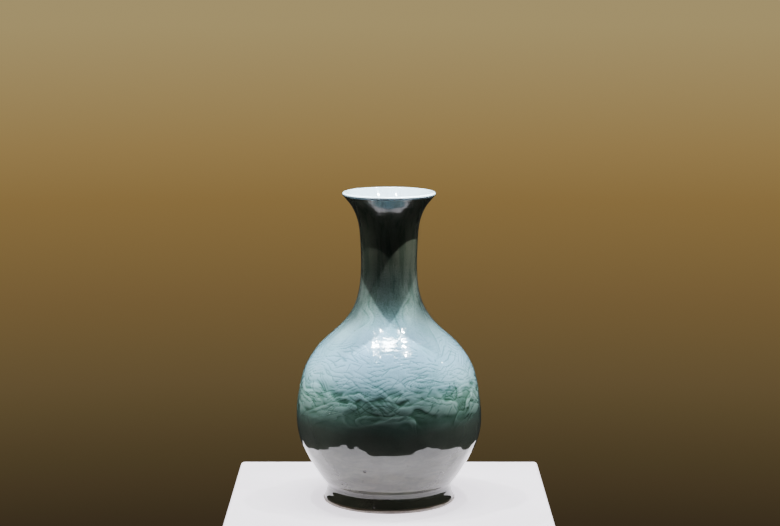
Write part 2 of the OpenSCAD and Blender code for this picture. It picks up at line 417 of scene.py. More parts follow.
outer, thick_v, comb_v, combed_v = [], [], [], []
for i, z in enumerate(grid_z):
    outer.append(warped_layer(z, glaze_sink[i]))
inner_rows = list(range(ROWS - 1, -1, -6))
if inner_rows[-1] != 0:
    inner_rows.append(0)
inner = [warped_layer(grid_z[i], GLAZE + paste_cut[i]) for i in inner_rows]
# rounded ends of the coat
lower_end = [warped_layer(BARE, 0.30), warped_layer(BARE + 0.02, 0.12)]
upper_end = [warped_layer(CELADON_TOP, 0.25)]
rings_all = np.stack(lower_end + outer[1:] + upper_end + inner)
n_lo, n_up = len(lower_end), len(upper_end)
thick_all = np.concatenate([thick[:1].repeat(n_lo, 0), thick[1:], thick[-1:].repeat(n_up, 0), thick[inner_rows]])
comb_all = np.concatenate([comb[:1].repeat(n_lo, 0), comb[1:], comb[-1:].repeat(n_up, 0), comb[inner_rows]])
combed_all = np.concatenate([combed[:1].repeat(n_lo, 0), combed[1:], combed[-1:].repeat(n_up, 0), combed[inner_rows]])
celadon = lathe("celadon_coat", rings_all, values={"coat": thick_all, "comb": comb_all, "combed": combed_all})


# --- paste sections, carved under the coat ----------------------------------
def band_heights(a, b, step=1.6):
    n = max(1, int(math.ceil((b - a) / step)))
    return np.linspace(a, b, n + 1)


def paste_outer(zs, cols):
    return outer_rings(zs, cols, paste_cut + GLAZE)


def paste_inner(zs, cols):
    return np.stack([layer(z, float(wall(z)) - GLAZE, cols) for z in zs])


def wall_band(name, a, b, cols=400, step=1.6):
    zs = band_heights(a, b, step)
    coarse = zs[::-1][:: 3] if len(zs) > 6 else zs[::-1]
    if coarse[-1] != zs[0]:
        coarse = np.append(coarse, zs[0])
    return lathe(name, np.concatenate([paste_outer(zs, cols), paste_inner(coarse, cols)]))


half = SLIP / 2
corner_top_r, corner_top_z = (lambda r, n, w: (r - w * n[0], CORNER_Z - w * n[1]))(
    float(profile(CORNER_Z)[0]), [float(v) for v in normal(CORNER_Z)], float(wall(CORNER_Z)) - GLAZE)
_cn = [float(v) for v in normal(CORNER_Z)]
_run = (-_cn[1], _cn[0])
_k = (corner_top_z - FLOOR_Z) / _run[1]
KNEE = (corner_top_r - _run[0] * _k, FLOOR_Z)
END = (34.0, FLOOR_Z)


def floor_path(d, n=26):
    pts = []
    for k in range(1, n + 1):
        t = k / n
        x = (1 - t) ** 2 * corner_top_r + 2 * t * (1 - t) * KNEE[0] + t * t * END[0]
        y = (1 - t) ** 2 * corner_top_z + 2 * t * (1 - t) * KNEE[1] + t * t * END[1]
        vx = (1 - t) * (KNEE[0] - corner_top_r) + t * (END[0] - KNEE[0])
        vy = (1 - t) * (KNEE[1] - corner_top_z) + t * (END[1] - KNEE[1])
        L = math.hypot(vx, vy)
        pts.append((x + d * vy / L, y - d * vx / L))
    for r in np.linspace(END[0], 2.0, 12)[1:]:
        # a faint spiral left by the finger at the centre of the floor
        pts.append((r, FLOOR_Z + d + 0.12 * math.cos(r * 0.55) * smooth(30, 12, r)))
    return pts


def lower_bowl():
    cols = 400
    under = [place(r, SEAM_TOP, cols) for r in np.linspace(2, RECESS, 8)]
    up = paste_outer(band_heights(SEAM_TOP, BELLY_SEAM - half), cols)
    down = paste_inner(band_heights(CORNER_Z, BELLY_SEAM - half, 5)[::-1], cols)
    floor = [place(r, z, cols) for r, z in floor_path(0)]
    return lathe("bowl_section", np.concatenate([np.stack(under), up, down, np.stack(floor)]),
                 poles=(SEAM_TOP, FLOOR_Z + 0.1))


bowl = lower_bowl()
dome = wall_band("dome_section", BELLY_SEAM + half, SHOULDER_SEAM - half)
neck_tube = wall_band("neck_section", SHOULDER_SEAM + half, MOUTH_SEAM - half, 320)


def lip_arc(q, cols, n=20, t_from=0.0, t_to=180.0):
    return [place(LIP_MID[0] + q * math.cos(LIP_TURN + math.radians(t)),
                  LIP_MID[1] + q * math.sin(LIP_TURN + math.radians(t)), cols)
            for t in np.linspace(t_from, t_to, n + 1)]


def mouth_section():
    cols = 320
    up = paste_outer(band_heights(MOUTH_SEAM + half, CELADON_TOP), cols)
    lip = lip_arc(LIP_R - GLAZE, cols)
    down = paste_inner(band_heights(MOUTH_SEAM + half, lip_z, 4)[::-1][1:], cols)
    return lathe("mouth_section", np.concatenate([up, np.stack(lip), down]))


mouth = mouth_section()
seam_foot_cols = 320
seam_foot = lathe("foot_slip", np.concatenate([
    paste_outer(np.array([FOOT_H, SEAM_TOP]), 320),
    np.stack([place(RECESS, SEAM_TOP, 320), place(RECESS, FOOT_H, 320)])]))
seam_belly = wall_band("belly_slip", BELLY_SEAM - half, BELLY_SEAM + half, 400)
seam_shoulder = wall_band("shoulder_slip", SHOULDER_SEAM - half, SHOULDER_SEAM + half, 400)
seam_mouth = wall_band("mouth_slip", MOUTH_SEAM - half, MOUTH_SEAM + half, 320)


# --- foot ring, bare on its tread --------------------------------------------
def ring_in(z):
    return np.interp(z, [1.4, FOOT_H], [RECESS + 1, RECESS])


def foot_ring():
    cols = 560
    t = np.arange(cols) * 2 * math.pi / cols
    er, _ = profile(BARE)
    nr, nz = normal(BARE)
    edge = (float(er - GLAZE * nr), float(BARE - GLAZE * nz))
    tread_out, tread_in = FOOT - 0.6, RECESS + 2.6
    rings = []
    rng2 = np.random.RandomState(8)

    def grit(r, z, amp):
        P = place(r, z, cols)
        g = amp * (0.6 * swell(P, 5.0, 24, 31) + 0.5 * swell(P, 2.2, 30, 32))
        return g

    for r in np.linspace(tread_in, tread_out, 12):
        g = np.clip(0.05 + grit(r, 0, 0.035), 0, 0.2) * smooth(tread_in - .1, tread_in + 1.2, r) * smooth(tread_out + .1, tread_out - 1.2, r)
        rings.append(place(r, 0.0 + g, cols))
    for a in np.linspace(12, 90, 8):
        r = tread_out + 0.6 * math.sin(math.radians(a))
        z = 0.6 * (1 - math.cos(math.radians(a)))
        rings.append(place(r - np.clip(grit(r, z, 0.03), -0.03, 0.1) - 0.03, z, cols))
    for f in np.linspace(0.08, 0.94, 9):
        # the bare edge carries the flare on, from the tread's rounded edge up to the coat
        r, z = FOOT + (edge[0] - FOOT) * f, 0.6 + (edge[1] - 0.6) * f
        rings.append(place(r - 0.03 - np.clip(grit(r, z, 0.035), -0.03, 0.1), z, cols))
    zs = band_heights(BARE, FOOT_H, 0.8)
    rings += list(outer_rings(zs, cols, paste_cut + GLAZE))
    rings += [place(r, z, cols) for r, z in
              [(RECESS, FOOT_H), (float(ring_in(6.5)), 6.5), (float(ring_in(4.2)), 4.2), (float(ring_in(BARE)), BARE),
               (RECESS + 1.0, 1.4), (RECESS + 1.35, 0.85), (RECESS + 1.9, 0.35), (RECESS + 2.3, 0.1)]]
    return lathe("foot_ring_bare", rings, sharp=70)


foot = foot_ring()


# --- white glaze inside and over the lip --------------------------------------
def inside_coat():
    cols = 400
    k = COLS // cols
    rings = []
    lap_z = CELADON_TOP + edge_lip[::k]
    for f in (0.0, 0.35, 0.7, 1.0):
        z = lap_z * (1 - f) + lip_z * f
        r, _ = profile(z)
        nr, nz = normal(z)
        d = 0.10 * (1 - f)
        rings.append(place(r - d * nr, z - d * nz, cols))
    rings += lip_arc(LIP_R, cols, 28, 6)[0:]
    zs = band_heights(CORNER_Z, lip_z, 2.2)[::-1][1:]
    for z in zs:
        base = layer(z, float(wall(z)), cols)
        wob = 0.05 * swell(base, 30, 16, 41)
        rings.append(layer(z, float(wall(z)) + wob * smooth(lip_z, lip_z - 12, z), cols))
    rings += [place(r, z, cols) for r, z in floor_path(GLAZE)]
    n_out = len(rings)
    back = [place(r, z, cols) for r, z in floor_path(0)[::-1]]
    back += list(paste_inner(band_heights(CORNER_Z, lip_z, 6), cols))
    back += lip_arc(LIP_R - GLAZE, cols, 16)[::-1]
    z = lap_z
    r, _ = profile(z)
    nr, nz = normal(z)
    back.append(place(r - GLAZE * nr, z - GLAZE * nz, cols))
    # the path runs pole, floor top, up the inside, over the lip, back down behind to the pole
    path = rings[::-1] + back[::-1]
    return lathe("inside_coat", path, poles=(FLOOR_Z + GLAZE + 0.1, FLOOR_Z + 0.1), sharp=70)


inside = inside_coat()


def under_coat():
    cols = 320
    top = SEAM_TOP
    path = []
    for r in np.linspace(2, RECESS - GLAZE - 1.2, 26):
        P = place(r, top - GLAZE, cols)
        path.append(place(r, top - GLAZE + 0.05 * swell(P, 26, 16, 51) - 0.06, cols))
    for a in np.linspace(0, 90, 7):
        path.append(place(RECESS - GLAZE - 1.2 + 1.2 * math.sin(math.radians(a)),
                          top - GLAZE - 1.2 + 1.2 * math.cos(math.radians(a)) - 0.05, cols))
    zs = np.linspace(top - GLAZE - 1.9, BARE + 0.5, 6)
    for z in zs:
        path.append(place(ring_in(z) - GLAZE, z, cols))
    t = np.arange(cols) * 2 * math.pi / cols
    wob = 0.22 * np.sin(5 * t) + 0.14 * np.sin(11 * t + 1)
    path.append(place(ring_in(BARE + 0.35) - GLAZE * 0.7, BARE + 0.3 + wob * 0.5, cols))
    path.append(place(ring_in(BARE + 0.2) - 0.05, BARE + 0.15 + wob, cols))
    path += [place(ring_in(z), z, cols) for z in (5.5, FOOT_H)]
    path.append(place(RECESS, top, cols))
    path += [place(r, top, cols) for r in np.linspace(RECESS, 2, 8)[1:]]
    return lathe("under_coat", path, poles=(top - GLAZE - 0.06, top), sharp=70)


under = under_coat()

PIECES = [
    (celadon, "celadon_glaze", "celadon_glaze"), (inside, "interior_glaze", "white_glaze"),
    (under, "base_glaze", "white_glaze"), (foot, "foot_ring", "bare_biscuit"),
    (bowl, "lower_belly", "porcelain_paste"), (dome, "upper_belly", "porcelain_paste"),
    (neck_tube, "neck", "porcelain_paste"), (mouth, "trumpet_mouth", "porcelain_paste"),
    (seam_foot, "foot_seam", "slip"), (seam_belly, "belly_seam", "slip"),
    (seam_shoulder, "shoulder_seam", "slip"), (seam_mouth, "mouth_seam", "slip"),
]
for ob, node, slot in PIECES:
    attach(ob, "root")
    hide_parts(node)


# --------------------------------------------------------------------------
# Materials, all procedural
# --------------------------------------------------------------------------
class Tree:
    """Short forms for building a node tree."""

    def __init__(self, name):
        self.mat = bpy.data.materials.new(name)
        self.mat.use_nodes = True
        self.nt = self.mat.node_tree
        self.nt.nodes.clear()
        self.out = self.nt.nodes.new("ShaderNodeOutputMaterial")
        self.bsdf = self.nt.nodes.new("ShaderNodeBsdfPrincipled")
        self.nt.links.new(self.bsdf.outputs[0], self.out.inputs[0])
        self.coord = self.nt.nodes.new("ShaderNodeTexCoord").outputs["Object"]

    def set(self, **k):
        for key, v in k.items():
            self.bsdf.inputs[key.replace("_", " ")].default_value = v

    def node(self, kind, **k):
        n = self.nt.nodes.new(kind)
        for key, v in k.items():
            setattr(n, key, v)
        return n

    def put(self, socket, v):
        if isinstance(v, bpy.types.NodeSocket):
            self.nt.links.new(v, socket)
        elif v is not None:
            socket.default_value = v

    def math(self, op, a, b=None, c=None, clamp=False):
        n = self.node("ShaderNodeMath", operation=op, use_clamp=clamp)
        for i, v in enumerate((a, b, c)):
            if v is not None:
                self.put(n.inputs[i], v)
        return n.outputs[0]

    def attr(self, name):
        return self.node("ShaderNodeAttribute", attribute_name=name).outputs["Fac"]

    def map(self, v, a, b, c=0.0, d=1.0, kind="SMOOTHSTEP"):
        n = self.node("ShaderNodeMapRange", interpolation_type=kind)
        for i, x in enumerate((v, a, b, c, d)):
            self.put(n.inputs[i], x)
        return n.outputs[0]

    def scaled(self, s, coord=None):
        n = self.node("ShaderNodeMapping")
        self.put(n.inputs["Vector"], coord or self.coord)
        n.inputs["Scale"].default_value = s
        return n.outputs[0]

    def noise(self, scale, detail=3.0, rough=0.5, coord=None, distortion=0.0):
        n = self.node("ShaderNodeTexNoise")
        self.put(n.inputs["Vector"], coord or self.coord)
        n.inputs["Scale"].default_value = scale
        n.inputs["Detail"].default_value = detail
        n.inputs["Roughness"].default_value = rough
        n.inputs["Distortion"].default_value = distortion
        return n.outputs["Fac"]

    def voronoi(self, scale, feature="F1", coord=None, randomness=1.0):
        n = self.node("ShaderNodeTexVoronoi", feature=feature)
        self.put(n.inputs["Vector"], coord or self.coord)
        n.inputs["Scale"].default_value = scale
        n.inputs["Randomness"].default_value = randomness
        return n

    def ramp(self, v, stops):
        n = self.node("ShaderNodeValToRGB")
        e = n.color_ramp.elements
        while len(e) < len(stops):
            e.new(0.5)
        for el, (p, c) in zip(e, stops):
            el.position = p
            el.color = (*c, 1)
        self.put(n.inputs[0], v)
        return n.outputs[0]

    def mix(self, f, a, b, blend="MIX"):
        n = self.node("ShaderNodeMix", data_type="RGBA", blend_type=blend)
        self.put(n.inputs[0], f)
        for i, v in ((6, a), (7, b)):
            self.put(n.inputs[i], (*v, 1) if isinstance(v, tuple) else v)
        return n.outputs[2]

    def bump(self, height, strength, distance, normal=None):
        n = self.node("ShaderNodeBump")
        n.inputs["Strength"].default_value = strength
        n.inputs["Distance"].default_value = distance
        self.put(n.inputs["Height"], height)
        if normal is not None:
            self.put(n.inputs["Normal"], normal)
        return n.outputs[0]

    def xyz(self):
        n = self.node("ShaderNodeSeparateXYZ")
        self.put(n.inputs[0], self.coord)
        return n.outputs


def on_surface(z, az):
    """A point of the outer surface in metres, at height z mm and angle az degrees from the front."""
    r = float(profile(z)[0])
    a = math.radians(az)
    return (r * math.sin(a) * K, -r * math.cos(a) * K, z * K)


# height in mm, and the albedo of the coat at its usual thickness, with painted shade in it: dark on the foot, under
# the belly and on the neck, where shade falls, and pale on the lit shoulder
TONE_AND_SHADE = [
    (0, (0.050, 0.050, 0.036)), (12, (0.048, 0.048, 0.034)), (17, (0.085, 0.085, 0.070)), (30, (0.088, 0.086, 0.072)), (58, (0.088, 0.090, 0.076)),
    (80, (0.088, 0.100, 0.084)), (94, (0.100, 0.140, 0.120)), (106, (0.240, 0.330, 0.300)), (120, (0.310, 0.455, 0.440)),
    (134, (0.360, 0.540, 0.630)), (154, (0.330, 0.520, 0.665)), (170, (0.260, 0.405, 0.500)), (180, (0.235, 0.350, 0.400)),
    (192, (0.185, 0.245, 0.245)), (204, (0.138, 0.166, 0.156)), (222, (0.125, 0.137, 0.122)), (240, (0.140, 0.144, 0.114)), (270, (0.200, 0.200, 0.150)),
    (300, (0.170, 0.160, 0.115)),
]


def celadon_material():
    t = Tree("celadon glaze")
    t.set(IOR=1.75, Coat_Weight=0.6, Coat_Roughness=0.02, Coat_IOR=1.6)
    x, y, z = t.xyz()
    coat = t.attr("coat")
    # the glaze's tone by height, partly its own colour and partly painted shade: dark olive on the foot, under the
    # belly and on the neck, where shade falls, pale blue-green on the lit shoulder
    cloud = t.math("SUBTRACT", t.noise(17, 3, 0.55), 0.5)
    # painted light: the pale, lit tone of the shoulder reaches lower on the two sides of the vase
    sides = t.math("DIVIDE", t.math("MULTIPLY", x, x), t.math("ADD", t.math("ADD", t.math("MULTIPLY", x, x), t.math("MULTIPLY", y, y)), 1e-9))
    painted_side_light = t.math("MULTIPLY", t.math("MULTIPLY_ADD", sides, 0.55, 0.25), t.map(z, 0.075, 0.10, 0.0, 14.0))
    zmm = t.math("ADD", t.math("ADD", t.math("MULTIPLY", z, 1 / K), painted_side_light), t.math("MULTIPLY", cloud, t.map(z, 0.150, 0.185, 24.0, 8.0)))
    tone = t.ramp(t.math("MULTIPLY", zmm, 1 / 300.0), [(h / 300.0, c) for h, c in TONE_AND_SHADE])
    # how thick the coat is: the carving, and drifts of its own
    drift = t.noise(60, 3, 0.55)
    streak = t.noise(34, 3, 0.6, t.scaled((1, 1, 0.07)))
    v = t.math("ADD", coat, t.math("MULTIPLY", t.math("SUBTRACT", drift, 0.5), 0.22))
    v = t.math("ADD", v, t.math("MULTIPLY", t.math("SUBTRACT", streak, 0.5), 0.20))
    comb, combed = t.attr("comb"), t.attr("combed")
    wob = t.math("MULTIPLY", t.math("SUBTRACT", t.noise(110, 2, 0.5), 0.5), 0.55)
    ph = t.math("FRACT", t.math("ADD", comb, wob))
    line = t.map(ph, 0.0, 0.16, 1.0, 0.0)
    after = t.map(ph, 0.10, 0.75, 1.0, 0.0)
    broken = t.map(t.noise(75, 2, 0.5), 0.42, 0.60, 0.0, 1.0)
    amount = t.math("MULTIPLY", combed, broken)
    v = t.math("ADD", v, t.math("MULTIPLY", t.math("MULTIPLY", after, amount), 0.14))
    pool = t.ramp(t.math("MULTIPLY", v, 0.625), [
        (0.14, (1.00, 1.00, 1.00)),
        (0.30, (0.86, 0.88, 0.88)),
        (0.38, (0.60, 0.68, 0.65)),
        (0.48, (0.34, 0.44, 0.38)),
        (0.62, (0.17, 0.27, 0.20)),
        (0.85, (0.08, 0.16, 0.11)),
    ])
    colour = t.mix(1.0, tone, pool, "MULTIPLY")
    # painted light and shade: paler on those two sides, where light falls, and deeper on the front and back, where it
    # falls less
    pale = t.math("MULTIPLY", t.map(z, 0.085, 0.120), t.map(z, 0.185, 0.165))
    colour = t.mix(t.math("MULTIPLY", pale, t.map(sides, 0.15, 0.95)), colour, (1.42, 1.36, 1.30), "MULTIPLY")
    colour = t.mix(t.math("MULTIPLY", t.math("MULTIPLY", pale, t.map(z, 0.118, 0.138)), t.map(sides, 0.30, 0.0, 0.0, 0.6)), colour, (0.86, 0.88, 0.92), "MULTIPLY")
    # painted shade: darker on the front and back of the neck's root and lower neck
    front = t.math("MULTIPLY", t.map(z, 0.158, 0.178), t.map(z, 0.232, 0.212))
    colour = t.mix(t.math("MULTIPLY", front, t.map(sides, 0.30, 0.02, 0.0, 1.0)), colour, (0.66, 0.70, 0.72), "MULTIPLY")
    # flowing streaks of thin and thick glaze under the belly
    flow = t.noise(30, 5, 0.66, t.scaled((1, 1, 3.6)), 1.8)
    below = t.math("MULTIPLY", t.map(z, 0.070, 0.055), t.map(z, 0.015, 0.022))
    flow = t.math("MULTIPLY", t.map(flow, 0.32, 0.72), below)
    colour = t.mix(t.math("MULTIPLY", flow, 0.80), colour, (1.75, 1.70, 1.50), "MULTIPLY")
    # cloudy tint and the milky grain of fine bubbles
    tint = t.map(t.noise(24, 3, 0.6), 0.35, 0.65)
    colour = t.mix(t.math("MULTIPLY", tint, 0.30), colour, (0.86, 1.0, 0.94), "MULTIPLY")
    grain = t.noise(780, 3, 0.7)
    heavy = t.math("MULTIPLY", t.map(z, 0.150, 0.195, 0.25, 1.0), t.map(z, 0.245, 0.215, 0.35, 1.0))
    colour = t.mix(t.math("MULTIPLY", t.map(grain, 0.54, 0.38), t.math("MULTIPLY", heavy, 0.42)), colour, (0.42, 0.54, 0.48), "MULTIPLY")
    runs = t.noise(150, 3, 0.6, t.scaled((1, 1, 0.12)))
    colour = t.mix(t.math("MULTIPLY", t.map(runs, 0.56, 0.36), t.map(z, 0.172, 0.205, 0.0, 0.65)), colour, (0.48, 0.60, 0.56), "MULTIPLY")
    colour = t.mix(t.math("MULTIPLY", t.map(grain, 0.54, 0.72), 0.16), colour, (1.25, 1.22, 1.22), "MULTIPLY")
    # iron specks: a few fixed ones on the lower belly, and a thin scatter elsewhere
    specks = None
    for sz, az, rad in ((44.0, -16.6, 1.25), (32.5, -19.5, 0.75), (25.0, -41.0, 0.8), (22.0, -40.0, 0.6),
                        (5.0, -13.0, 0.9), (99.0, -39.0, 0.55), (38.0, -3.0, 0.35), (51.0, 12.0, 0.3)):
        n = t.node("ShaderNodeVectorMath", operation="DISTANCE")
        t.put(n.inputs[0], t.coord)
        n.inputs[1].default_value = on_surface(sz, az)
        sp = t.map(n.outputs["Value"], rad * K * 1.25, rad * K * 0.6)
        specks = sp if specks is None else t.math("MAXIMUM", specks, sp)
    vor = t.voronoi(34)
    dist = vor.outputs["Distance"]
    sep = t.node("ShaderNodeSeparateColor")
    t.put(sep.inputs[0], vor.outputs["Color"])
    few = t.math("GREATER_THAN", sep.outputs[0], 0.80)
    size = t.map(sep.outputs[1], 0, 1, 0.010, 0.024, "LINEAR")
    dots = t.math("MULTIPLY", t.math("LESS_THAN", dist, size), few)
    specks = t.math("MAXIMUM", specks, t.math("MULTIPLY", dots, 0.8))
    colour = t.mix(specks, colour, (0.018, 0.012, 0.008))
    # the coat runs thin and toasts a little at its lower edge
    toast = t.map(z, 0.0044, 0.0024)
    colour = t.mix(t.math("MULTIPLY", toast, 0.5), colour, (0.16, 0.12, 0.08))
    t.put(t.bsdf.inputs["Base Color"], colour)
    rough = t.math("ADD", t.map(t.noise(26, 3, 0.6), 0.3, 0.7, 0.03, 0.06), t.math("MULTIPLY", specks, 0.5))
    rough = t.math("ADD", rough, t.math("MULTIPLY", toast, 0.2))
    rough = t.math("ADD", rough, t.map(z, 0.125, 0.150, 0.0, 0.05))
    rough = t.math("ADD", rough, t.map(z, 0.255, 0.285, 0.0, 0.12))
    t.put(t.bsdf.inputs["Roughness"], rough)
    # orange peel, strongest on the shoulder, and the cut edges of the combed lines
    b = t.bump(t.noise(75, 2, 0.5), 0.35, 0.00030)
    peel = t.math("MULTIPLY", t.noise(480, 2.0, 0.5), t.map(z, 0.115, 0.150, 0.15, 1.0))
    b = t.bump(peel, 1.0, 0.00009, b)
    # pin-holes of burst bubbles, thick on the shoulder
    pit = t.voronoi(560)
    psep = t.node("ShaderNodeSeparateColor")
    t.put(psep.inputs[0], pit.outputs["Color"])
    open_pit = t.math("MULTIPLY", t.math("GREATER_THAN", psep.outputs[0], 0.45), t.map(z, 0.120, 0.150, 0.10, 1.0))
    hole = t.math("MULTIPLY", t.map(pit.outputs["Distance"], 0.34, 0.0), open_pit)
    b = t.bump(t.math("SUBTRACT", 1.0, hole), 1.0, 0.00012, b)
    b = t.bump(t.math("SUBTRACT", 1.0, t.math("MULTIPLY", t.math("MAXIMUM", t.math("MULTIPLY", after, 0.7), line), amount)), 0.5, 0.00014, b)
    b = t.bump(t.math("SUBTRACT", 1.0, specks), 1.0, 0.0009, b)
    t.put(t.bsdf.inputs["Normal"], b)
    t.put(t.bsdf.inputs["Coat Normal"], b)
    return t.mat


def white_glaze_material(name, tone):
    t = Tree(name)
    t.set(IOR=1.62, Coat_Weight=0.3, Coat_Roughness=0.03, Coat_IOR=1.5)
    v = t.noise(24, 4, 0.6)
    colour = t.ramp(v, [(0.25, tuple(c * 0.90 for c in tone)), (0.55, tone), (0.8, tuple(min(1, c * 1.05) for c in tone))])
    fine = t.map(t.noise(300, 2, 0.5), 0.5, 0.8)
    colour = t.mix(t.math("MULTIPLY", fine, 0.10), colour, (0.55, 0.66, 0.68))
    vor = t.voronoi(60)
    sep = t.node("ShaderNodeSeparateColor")
    t.put(sep.inputs[0], vor.outputs["Color"])
    dots = t.math("MULTIPLY", t.math("LESS_THAN", vor.outputs["Distance"], 0.018), t.math("GREATER_THAN", sep.outputs[0], 0.9))
    colour = t.mix(t.math("MULTIPLY", dots, 0.7), colour, (0.10, 0.07, 0.05))
    t.put(t.bsdf.inputs["Base Color"], colour)
    t.put(t.bsdf.inputs["Roughness"], t.map(t.noise(18, 3, 0.5), 0.3, 0.7, 0.05, 0.11))
    b = t.bump(t.noise(60, 2, 0.5), 0.3, 0.0002)
    b = t.bump(t.noise(240, 2, 0.5), 0.3, 0.00005, b)
    t.put(t.bsdf.inputs["Normal"], b)
    return t.mat


def biscuit_material():
    t = Tree("bare biscuit")
    t.set(IOR=1.45)
    x, y, z = t.xyz()
    base = t.ramp(t.noise(90, 5, 0.65), [(0.25, (0.42, 0.37, 0.34)), (0.5, (0.60, 0.54, 0.50)), (0.75, (0.72, 0.66, 0.62))])
    # orange flash where the glaze stops
    flash = t.map(z, 0.0008, 0.0026)
    base = t.mix(t.math("MULTIPLY", flash, t.map(t.noise(50, 3, 0.6), 0.3, 0.6, 0.10, 0.40)), base, (0.26, 0.19, 0.14))
    grit = t.map(t.noise(900, 3, 0.6), 0.60, 0.72)
    base = t.mix(t.math("MULTIPLY", grit, 0.6), base, (0.08, 0.06, 0.045))
    pale = t.map(t.noise(700, 2, 0.6), 0.62, 0.74)
    base = t.mix(t.math("MULTIPLY", pale, 0.5), base, (0.55, 0.50, 0.43))
    # the tread is rubbed a little grey where it has stood
    worn = t.math("MULTIPLY", t.map(z, 0.0006, 0.0001), t.map(t.noise(35, 4, 0.6), 0.4, 0.6, 0.1, 0.6))
    base = t.mix(worn, base, (0.22, 0.20, 0.18))
    t.put(t.bsdf.inputs["Base Color"], base)
    t.put(t.bsdf.inputs["Roughness"], t.map(t.noise(120, 3, 0.5), 0.3, 0.7, 0.62, 0.88))
    b = t.bump(t.noise(520, 5, 0.65), 0.7, 0.00022)
    t.put(t.bsdf.inputs["Normal"], b)
    return t.mat


def paste_material(name, tone, scale):
    t = Tree(name)
    t.set(IOR=1.45)
    v = t.noise(scale, 5, 0.6)
    colour = t.ramp(v, [(0.2, tuple(c * 0.82 for c in tone)), (0.5, tone), (0.8, tuple(min(1, c * 1.06) for c in tone))])
    ring = t.noise(8, 2, 0.5, t.scaled((0.2, 0.2, 26)))
    colour = t.mix(t.math("MULTIPLY", t.map(ring, 0.4, 0.62), 0.18), colour, tuple(c * 0.72 for c in tone))
    spots = t.map(t.noise(800, 2, 0.6), 0.66, 0.74)
    colour = t.mix(t.math("MULTIPLY", spots, 0.4), colour, (0.34, 0.28, 0.22))
    t.put(t.bsdf.inputs["Base Color"], colour)
    t.put(t.bsdf.inputs["Roughness"], t.map(t.noise(60, 3, 0.5), 0.3, 0.7, 0.60, 0.80))
    b = t.bump(ring, 0.4, 0.0002)
    b = t.bump(t.noise(600, 4, 0.6), 0.4, 0.0001, b)
    t.put(t.bsdf.inputs["Normal"], b)
    return t.mat


CELADON = celadon_material()
WHITE = white_glaze_material("white glaze", (0.62, 0.75, 0.82))
BASE_WHITE = white_glaze_material("white base glaze", (0.60, 0.68, 0.69))
BISCUIT = biscuit_material()
PASTE = paste_material("porcelain paste", (0.66, 0.63, 0.56), 40)
SLIP_MAT = paste_material("porcelain slip", (0.56, 0.52, 0.45), 90)
for ob, mat in ((celadon, CELADON), (inside, WHITE), (under, BASE_WHITE), (foot, BISCUIT),
                (bowl, PASTE), (dome, PASTE), (neck_tube, PASTE), (mouth, PASTE),
                (seam_foot, SLIP_MAT), (seam_belly, SLIP_MAT), (seam_shoulder, SLIP_MAT), (seam_mouth, SLIP_MAT)):
    ob.data.materials.append(mat)


# --------------------------------------------------------------------------
# Stage: a plain pale floor slab, a plain backdrop, overhead studio light
# --------------------------------------------------------------------------
def floor_slab():
    w, back, front, deep, rad = 0.155, 0.142, 0.158, 0.10, 0.0035
    me = bpy.data.meshes.new("floor")
    v = [(-w, -front), (w, -front), (w, back), (-w, back)]
    verts = [(px, py, 0.0) for px, py in v] + [(px, py, -deep) for px, py in v]
    faces = [(0, 1, 2, 3), (7, 6, 5, 4), (0, 4, 5, 1), (1, 5, 6, 2), (2, 6, 7, 3), (3, 7, 4, 0)]
    me.from_pydata(verts, [], faces)
    ob = bpy.data.objects.new("floor", me)
    bpy.context.scene.collection.objects.link(ob)
    m = ob.modifiers.new("edge", "BEVEL")
    m.width, m.segments = rad, 4
    t = Tree("floor paint")
    base = t.ramp(t.noise(9, 4, 0.6), [(0.3, (0.30, 0.285, 0.29)), (0.7, (0.34, 0.325, 0.33))])
    t.put(t.bsdf.inputs["Base Color"], base)
    t.set(Roughness=0.55)
    # the block glows softly, as a lit display block does, so that the shade under the belly stays pale
    t.bsdf.inputs["Emission Color"].default_value = (1.0, 0.945, 1.03, 1)
    t.bsdf.inputs["Emission Strength"].default_value = SLAB_GLOW
    t.put(t.bsdf.inputs["Normal"], t.bump(t.noise(500, 3, 0.6), 0.15, 0.0001))
    me.materials.append(t.mat)
    return ob


SLAB_GLOW = 1.12
floor_slab()

CEILING = 0.14
world = bpy.data.worlds.new("backdrop")
bpy.context.scene.world = world
world.use_nodes = True
wt = world.node_tree
wt.nodes.clear()
w_out = wt.nodes.new("ShaderNodeOutputWorld")
w_bg = wt.nodes.new("ShaderNodeBackground")
w_dim = wt.nodes.new("ShaderNodeBackground")
w_mix = wt.nodes.new("ShaderNodeMixShader")
w_path = wt.nodes.new("ShaderNodeLightPath")
w_co = wt.nodes.new("ShaderNodeTexCoord")
w_sep = wt.nodes.new("ShaderNodeSeparateXYZ")
w_ramp = wt.nodes.new("ShaderNodeValToRGB")
w_map = wt.nodes.new("ShaderNodeMapRange")
wt.links.new(w_co.outputs["Generated"], w_sep.inputs[0])
wt.links.new(w_sep.outputs[2], w_map.inputs[0])
for i, v in enumerate((-0.45, 0.15, 0.0, 1.0)):
    w_map.inputs[i + 1].default_value = v
wt.links.new(w_map.outputs[0], w_ramp.inputs[0])
stops = [(0.30, (0.060, 0.045, 0.026)), (0.362, (0.098, 0.074, 0.038)), (0.41, (0.135, 0.100, 0.050)), (0.475, (0.180, 0.126, 0.058)),
         (0.557, (0.245, 0.168, 0.070)), (0.60, (0.290, 0.205, 0.090)), (0.70, (0.360, 0.285, 0.145)), (0.85, (0.36, 0.30, 0.17))]
el = w_ramp.color_ramp.elements
while len(el) < len(stops):
    el.new(0.5)
for e, (p, c) in zip(el, stops):
    e.position = p
    e.color = (*c, 1)
wt.links.new(w_ramp.outputs[0], w_bg.inputs[0])
w_bg.inputs[1].default_value = 1.0
w_up = wt.nodes.new("ShaderNodeMapRange")
w_up.interpolation_type = "SMOOTHSTEP"
wt.links.new(w_sep.outputs[2], w_up.inputs[0])
